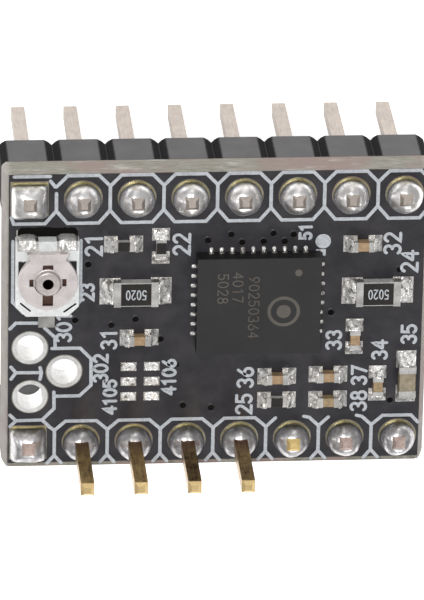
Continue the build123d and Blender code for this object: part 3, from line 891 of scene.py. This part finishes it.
# numerals as plain single strokes, one unit high and 0.6 wide
def bow(cx, cy, rx, ry, start, end, steps=10):
    turns = [math.radians(start + (end - start) * k / steps) for k in range(steps + 1)]
    return [(cx + rx * math.cos(a), cy + ry * math.sin(a)) for a in turns]


numerals = {
    "0": [bow(0.3, 0.5, 0.28, 0.48, 90, 425, 18)],
    "1": [[(0.12, 0.80), (0.34, 0.98), (0.34, 0.02)]],
    "2": [bow(0.3, 0.72, 0.26, 0.26, 160, -40) + [(0.04, 0.02), (0.58, 0.02)]],
    "3": [bow(0.28, 0.74, 0.25, 0.24, 150, -80), bow(0.28, 0.27, 0.28, 0.25, 80, -150)],
    "4": [[(0.44, 0.02), (0.44, 0.98), (0.02, 0.32)], [(0.02, 0.32), (0.60, 0.32)]],
    "5": [[(0.54, 0.98), (0.10, 0.98), (0.07, 0.55)] + bow(0.28, 0.31, 0.28, 0.29, 110, -150)],
    "6": [[(0.46, 0.97), (0.12, 0.52)] + bow(0.3, 0.29, 0.27, 0.27, 150, 480, 16)],
    "7": [[(0.03, 0.98), (0.57, 0.98), (0.22, 0.02)]],
    "8": [bow(0.3, 0.75, 0.22, 0.22, -80, 240, 14), bow(0.3, 0.27, 0.27, 0.26, 90, 420, 16)],
    "9": [[(0.14, 0.03), (0.48, 0.48)] + bow(0.3, 0.71, 0.27, 0.27, -20, 305, 16)],
}


def numberLines(text, x, y, height, advance=0.78, turn=90, squeeze=1.0):
    # a row of numerals centred on (x, y)
    total = (len(text) - 1) * advance + 0.6
    spin = math.radians(turn)
    lines = []
    for place, figure in enumerate(text):
        for stroke in numerals[figure]:
            line = []
            for u, v in stroke:
                a = (u + place * advance - total / 2) * height * squeeze
                b = (v - 0.5) * height
                right = a * math.cos(spin) - b * math.sin(spin)
                up = a * math.sin(spin) + b * math.cos(spin)
                line.append((x + right, y + up))
            lines.append(line)
    return lines


placeNumbers = (
    # text, x, y, height
    ("21", -5.83, 3.93, 0.78), ("22", -1.66, 3.90, 0.78), ("23", -6.12, 1.50, 0.62),
    ("301", -7.22, -0.30, 0.70), ("31", -5.06, -0.98, 0.72), ("302", -5.44, -2.50, 0.66),
    ("4105", -4.98, -4.02, 0.60), ("4106", -2.16, -3.02, 0.62), ("51", 4.22, 4.46, 0.56),
    ("32", 8.38, 3.78, 0.78), ("24", 9.22, 2.82, 0.78), ("33", 5.70, -1.22, 0.70),
    ("34", 7.92, -1.78, 0.70), ("35", 9.30, -0.98, 0.70), ("36", 1.50, -3.12, 0.74),
    ("25", 1.46, -4.52, 0.74), ("37", 6.97, -3.10, 0.70), ("38", 6.97, -4.46, 0.74),
)


def makeInk(plan):
    low, high, line = plan["low"], plan["high"], plan["line"]
    silk = materials["silk"]
    strokes("padOutlines", rearOutlines(plan) + frontOutlines(plan), line, low, high, silk)
    strokes("holeOutlines", holeOutlines(), line, low, high, silk)
    lines = []
    for text, x, y, height in placeNumbers:
        lines += numberLines(text, x, y, height)
    strokes("placeNumbers", lines, plan["numberLine"], low, high, silk, rag=0.12)
    for name, lines in (("trimmerOutline", plan["trimmerFrame"]), ("chipCorner", [plan["chipCorner"]])):
        strokes(name, lines, plan["trimmerLine"], low, high, silk)
    bm = bmesh.new()
    x, y, radius = plan["firstPinDot"]
    spunInto(bm, x, y, [(0, low), (radius, low), (radius + 0.01, high), (0, high)], 36, 0.02)
    addPiece("firstPinDot", closeMesh("firstPinDot", bm), silk, moduleBody, smooth=False)


makeInk(inkPlan)
print("ink printed")

# solder round the header pins: rounded hills that almost bury the cut pin ends
domeLook = {
    "profile": (
        (0.865, 0.0), (0.86, 0.12), (0.83, 0.28), (0.77, 0.44), (0.68, 0.58),
        (0.56, 0.70), (0.42, 0.79), (0.30, 0.83), (0.20, 0.84), (0.0, 0.84),
    ),
    "squareHalf": 0.865,     # the first pad of each row is square
    "lumps": 0.10,
    "shift": -0.07,          # the solder sits a little in front of the pins
    "around": 48,
}


def domeInto(bm, x, y, look, seed, square):
    profile = look["profile"]
    rings = []
    for level, (radius, height) in enumerate(profile):
        share = level / (len(profile) - 1)
        if not radius:
            rings.append([bm.verts.new((x, y, boardTop + height))])
            continue
        power = 2 + 9 * (1 - share) ** 2 if square else 2
        reach = radius * look["squareHalf"] / profile[0][0] if square else radius
        ring = []
        for k in range(look["around"]):
            turn = 2 * math.pi * k / look["around"]
            c, s = math.cos(turn), math.sin(turn)
            out = reach / (abs(c) ** power + abs(s) ** power) ** (1 / power)
            spot = (c * out, s * out, height)
            swell = 1 + 2 * look["lumps"] * share * rumple(spot, 1.5, seed)
            calm = look["lumps"] * share * min(1, radius / 0.45) ** 2
            lift = calm * (rumple(spot, 2.3, seed + 40) + 0.6 * rumple(spot, 5.5, seed + 80))
            ring.append(bm.verts.new((x + c * out * swell, y + s * out * swell, boardTop + height + lift)))
        rings.append(ring)
    joinRings(bm, rings)


def makeHeaderSolder(look):
    for row, pins, key in (("rear", rearPins, "solder"), ("front", frontPins, "shadedSolder")):
        bm = bmesh.new()
        for index, (x, y) in enumerate(pins):
            domeInto(bm, x, y + look["shift"], look, index + (10 if row == "front" else 0), index == 0)
        solderPiece(row + "HeaderSolder", bm, key, row + "_header_solder")


makeHeaderSolder(domeLook)
print("header pins soldered")

# solder at the ends of the chip parts: bright lumpy heaps that climb the caps
chipParts = {
    # kind: length, pad end to pad end, pad width, climb up the cap, height of the lumps
    "small": (1.0, 1.85, 0.86, 0.40, 0.135),
    "large": (1.6, 2.70, 0.98, 0.62, 0.15),
    "flat": (1.0, 1.85, 0.86, 0.33, 0.15),
    "sense": (2.12, 3.42, 1.38, 0.42, 0.165),
}
chipPlaces = (
    # node, kind, a quarter turn or not
    ("capacitor_1", "small", 0), ("capacitor_2", "small", 0), ("capacitor_3", "small", 90),
    ("capacitor_4", "small", 90), ("capacitor_5", "small", 0), ("capacitor_6", "small", 0),
    ("capacitor_7", "small", 0), ("capacitor_8", "large", 90), ("resistor_1", "flat", 0),
    ("resistor_2", "flat", 90), ("resistor_3", "flat", 0),
    ("sense_resistor_left", "sense", 0), ("sense_resistor_right", "sense", 0),
)


def endSolderInto(bm, x, y, turn, side, kind, seed):
    length, overall, width, climb, lumps = chipParts[kind]
    start = length / 2
    tuck = 0.07            # how far the heap lies over the cap's edge
    run = overall / 2 - start + tuck
    centre = start - tuck + run / 2

    def heightAt(u, v):
        t = min(1.0, max(0.0, (u + run / 2 - tuck) / (run - tuck)))
        across = abs(v) / (width / 2)
        hill = climb * (1 - t) ** 1.25 * (1 - 0.35 * across ** 3) + 0.10 * (1 - t * t)
        swell = 0.9 * rumple((u, v, side), 2.6, seed) + 0.4 * rumple((u, v, side), 6.0, seed + 9)
        return max(0.01, hill + lumps * swell)

    spin = math.radians(turn + (0 if side > 0 else 180))
    spot = (x + centre * math.cos(spin), y + centre * math.sin(spin))
    moundInto(bm, spot, math.degrees(spin), (run, width), heightAt, solderLow, (14, 16))


def makePartSolder():
    bm = bmesh.new()
    for index, (node, kind, turn) in enumerate(chipPlaces):
        x, y = middle(node)[:2]
        for side in (-1, 1):
            endSolderInto(bm, x, y, turn, side, kind, 3 * index + side)
    solderPiece("partSolder", bm, "whiteSolder", "part_solder")


makePartSolder()

# the six bridge pads: small twin-peaked blobs
bridgePlan = {
    "columns": (-4.10, -2.99),
    "rows": (-2.44, -3.22, -4.01),
    "length": 0.77,
    "width": 0.45,
    "height": 0.085,
}


def makeBridgeSolder(plan):
    bm = bmesh.new()
    seed = 0
    for x in plan["columns"]:
        for y in plan["rows"]:
            seed += 1
            twin = 0.7 + 0.3 * rumple((x, y, 1), 1.0, seed)

            def heightAt(u, v, seed=seed, twin=twin):
                peaks = abs(math.sin(math.pi * u / plan["length"])) ** 0.8
                return plan["height"] * (0.25 + twin * peaks) * (1 + 0.35 * rumple((u, v, 2), 6.0, seed))

            size = (plan["length"], plan["width"])
            moundInto(bm, (x, y), 0, size, heightAt, solderLow, (16, 10))
    solderPiece("bridgeSolder", bm, "whiteSolder", "config_solder")


makeBridgeSolder(bridgePlan)
print("chip parts soldered")

# little peaks of solder at the chip's leads; the share of full size for each lead
chipSolderPlan = {
    "pitch": 0.5,
    "reach": 0.26,
    "width": 0.20,
    "rear": (0.75, 0.7, 0.8, 0.75, 1.0, 1.0, 0.85, 0.9, 1.0, 0.85),
    "front": (0.8,) * 10,
    "left": (0.8, 0.7, 0.9, 0.75, 0.85, 0.9, 0.75, 0.7),
    "right": (0.45, 0.75, 0.4, 1.0, 1.1, 1.1, 0.6, 0.7),
}


def makeChipSolder(plan):
    low, high = lowest("chip_mould"), highest("chip_mould")
    x, y = middle("chip_mould")[:2]
    sides = (
        ("rear", 10, lambda s: (x + s, high[1]), 90), ("front", 10, lambda s: (x + s, low[1]), -90),
        ("left", 8, lambda s: (low[0], y + s), 180), ("right", 8, lambda s: (high[0], y + s), 0),
    )
    bm = bmesh.new()
    for name, count, spotAt, facing in sides:
        for index in range(count):
            size = plan[name][index]
            edge = spotAt((index - (count - 1) / 2) * plan["pitch"])
            length = plan["reach"] * (0.6 + 0.4 * size)
            spin = math.radians(facing)
            centre = (edge[0] + math.cos(spin) * length / 2, edge[1] + math.sin(spin) * length / 2)

            def heightAt(u, v, size=size, length=length, seed=index):
                t = (u + length / 2) / length
                hill = 0.20 * size * (1 - t) ** 0.7 * (1 - 0.9 * abs(2 * v / plan["width"]) ** 1.2)
                return max(0.006, hill + 0.03 * rumple((u, v, facing), 9.0, seed))

            moundInto(bm, centre, facing, (length, plan["width"]), heightAt, solderLow, (8, 8))
    solderPiece("chipSolder", bm, "whiteSolder", "chip_solder")


makeChipSolder(chipSolderPlan)

# faint marks burnt into the chip's top: plain figures, a ring and the first-pin dot
chipMarkPlan = {
    "lift": 0.003,
    "height": 0.50,
    "advance": 0.82,
    "line": 0.055,
    "figures": (
        # text, x, y
        ("5028", 0.27, 1.95), ("4017", 0.98, 2.0), ("90250364", 1.75, 0.95),
    ),
    "ring": (3.18, 0.72, 0.62, 0.78),      # x, y, inner and outer radius
    "disc": 0.34,
    "dot": (3.86, 2.71, 0.17),
}


def makeChipMarks(plan):
    top = highest("chip_mould")[2]
    low, high = top - 0.002, top + plan["lift"]
    mark = materials["laserMark"]
    lines = []
    for text, x, y in plan["figures"]:
        lines += numberLines(text, x, y, plan["height"], plan["advance"], turn=-90)
    strokes("chipFigures", lines, plan["line"], low, high, mark, rag=0.2)
    bm = bmesh.new()
    x, y, inner, outer = plan["ring"]
    spunInto(bm, x, y, [(inner, low), (inner, high), (outer, high), (outer, low)], 48)
    spunInto(bm, x, y, [(0, high), (plan["disc"], high), (plan["disc"], low)], 36)
    x, y, radius = plan["dot"]
    spunInto(bm, x, y, [(0, high), (radius, high), (radius * 1.05, low)], 28)
    addPiece("chipRing", closeMesh("chipRing", bm), mark, moduleBody, smooth=False)


makeChipMarks(chipMarkPlan)

# white figures in the windows of the two sense resistors
windowFigures = {"text": "5020", "height": 0.48, "line": 0.062, "squeeze": 0.62, "advance": 0.86}


def makeWindowFigures(plan):
    top = highest("resistor_coatings")[2]
    for side in ("left", "right"):
        x, y = middle("sense_resistor_" + side)[:2]
        lines = numberLines(plan["text"], x, y, plan["height"], plan["advance"], 180, plan["squeeze"])
        strokes(side + "Figures", lines, plan["line"], top - 0.004, top + 0.006,
                materials["silk"], 0.15)


makeWindowFigures(windowFigures)
print("chip and resistors marked")

# trimmer: solder on both end terminals, two slits of painted shadow in the base, a collar on the disc,
# painted shadow behind
trimmerPlan = {
    "heapLength": 1.04,
    "heapWidth": 0.66,
    "heapRise": 0.16,
    # painted shadows: two dark slits at the base's front corners
    "slitShadows": (((-9.31, 1.25), (-8.86, 0.85)), ((-7.25, 0.78), (-6.70, 1.18))),
    "slitShadowWidth": 0.085,
    "eyeletShadowRadius": 0.645,            # painted shadow: a dark crescent in front of the eyelet
    "collar": (0.50, 0.70),        # radii of the pressed ring that closes the inner ends of the slots
    "shade": (-9.46, -6.58, 4.36, 4.88),      # left, right, front, rear of the painted shadow on the lacquer
}


def makeTrimmerSolder(plan):
    bm = bmesh.new()
    for seed, node in enumerate(("trimmer_left_terminal", "trimmer_right_terminal")):
        x = middle(node)[0]
        rear = highest(node)[1]
        top = highest(node)[2]
        rise = top - boardTop
        width = plan["heapWidth"]

        def heightAt(u, v, seed=seed, rise=rise):
            # v runs to the rear; the heap lies on the terminal and falls off behind it
            back = v - (width / 2 - 0.12)
            fall = 1.0 if back < 0 else max(0.0, 1 - (back / 0.12) ** 2)
            fold = abs(rumple((u, v, 1), 3.2, seed + 5)) + 0.5 * rumple((u, v, 2), 7.0, seed + 2)
            return max(0.01, (rise + 0.03) * fall + plan["heapRise"] * fold * (0.35 + 0.65 * fall))

        centre = (x, rear + 0.12 - width / 2)
        moundInto(bm, centre, 0, (plan["heapLength"], width), heightAt, solderLow, (22, 20))
    solderPiece("trimmerSolder", bm, "whiteSolder", "trimmer_solder")


def makeTrimmerShadows(plan):
    x, y = discCentre
    high = highest("trimmer_rotor")[2]
    # painted shadow: a dark crescent on the disc in front of the eyelet
    arc = bow(x, y + 0.01, plan["eyeletShadowRadius"], plan["eyeletShadowRadius"], 200, 340, 16)
    gap = materials["gap"]
    strokes("eyeletShadow", [arc], 0.07, high + 0.006, high + 0.010, gap, 0.3)
    # painted shadows: two dark slits in the base's front corners
    top = highest("trimmer_base")[2]
    strokes("trimmerSlitShadows", plan["slitShadows"], plan["slitShadowWidth"], top - 0.02, top + 0.004,
            gap, 0.2)


def makeTrimmerCollar(plan):
    x, y = discCentre
    inner, outer = plan["collar"]
    high = highest("trimmer_rotor")[2]
    bm = bmesh.new()
    spunInto(bm, x, y, [
        (inner, high - 0.15), (inner, high - 0.03), (inner + 0.04, high + 0.004),
        (outer - 0.03, high + 0.004), (outer, high - 0.02), (outer, high - 0.15)], 48)
    addPiece("discCollar", closeMesh("discCollar", bm), materials["collar"], discBody)


def makeTrimmerShade(plan):
    # painted shadow: the lacquer behind the two terminals made black
    left, right, front, rear = plan["shade"]
    half = (rear - front) / 2
    low, gap = solderLow, materials["gap"]
    shade = [(left + half, front + half), (right - half, front + half)]
    shadeFront = [(left + half / 2, front + half / 2), (right - half / 2, front + half / 2)]
    strokes("trimmerShade", [shade], 2 * half, low, boardTop + 0.008, gap, 0.3)
    strokes("trimmerShadeFront", [shadeFront], half, low, boardTop + 0.014, gap, 0.3)


makeTrimmerSolder(trimmerPlan)
makeTrimmerShadows(trimmerPlan)
makeTrimmerCollar(trimmerPlan)
makeTrimmerShade(trimmerPlan)

# vias: small dimples under the lacquer, with painted shade filling their holes
viaPlaces = (
    (-6.68, 0.04), (-4.95, -0.25), (-3.80, 0.04), (-2.59, -1.02), (-1.84, -2.39), (-1.47, -4.54),
    (-0.41, 4.07), (-0.12, -4.68), (0.69, 4.36), (1.22, 3.94), (2.23, 3.97), (2.70, 4.38),
    (3.24, 3.96), (3.66, 4.31), (5.53, 0.23), (8.49, -4.45), (8.76, 2.41), (-6.09, 2.93),
)
viaLook = {"dimple": 0.15, "rim": 0.23, "rise": 0.012}


def makeVias(look):
    holes, rims = bmesh.new(), bmesh.new()
    for seed, (x, y) in enumerate(viaPlaces):
        top = boardTop + 0.001
        spunInto(holes, x, y, [(0, top), (look["dimple"], top + 0.002)], 20, 0.08, seed)
        spunInto(rims, x, y, [
            (look["dimple"] * 0.96, top), (look["dimple"] * 1.15, top + look["rise"]),
            (look["rim"] * 0.9, top + look["rise"] * 0.7), (look["rim"], top - 0.004)], 24, 0.06, seed)
    addPiece("viaHoleShades", closeMesh("viaHoleShades", holes), materials["gap"], moduleBody)
    addPiece("viaRims", closeMesh("viaRims", rims), materials["mask"], moduleBody)


makeVias(viaLook)
print("trimmer and vias finished")

floorPlan = {"size": 4000, "height": -0.02, "glow": 0.80, "colour": (0.86, 0.86, 0.86)}


def makeFloor(plan):
    half = plan["size"] / 2 * mm
    bm = bmesh.new()
    corners = [(-half, -half), (half, -half), (half, half), (-half, half)]
    bm.faces.new([bm.verts.new((x, y, plan["height"] * mm)) for x, y in corners])
    mesh = bpy.data.meshes.new("floor")
    bm.to_mesh(mesh)
    bm.free()
    obj = bpy.data.objects.new("floor", mesh)
    bpy.context.scene.collection.objects.link(obj)
    s = Sheet("paleFloor")
    mesh.materials.append(s.set(
        baseColor=plan["colour"], roughness=0.9, emissionColor=(1, 1, 1), emissionStrength=plan["glow"]))


makeFloor(floorPlan)
print("floor laid")
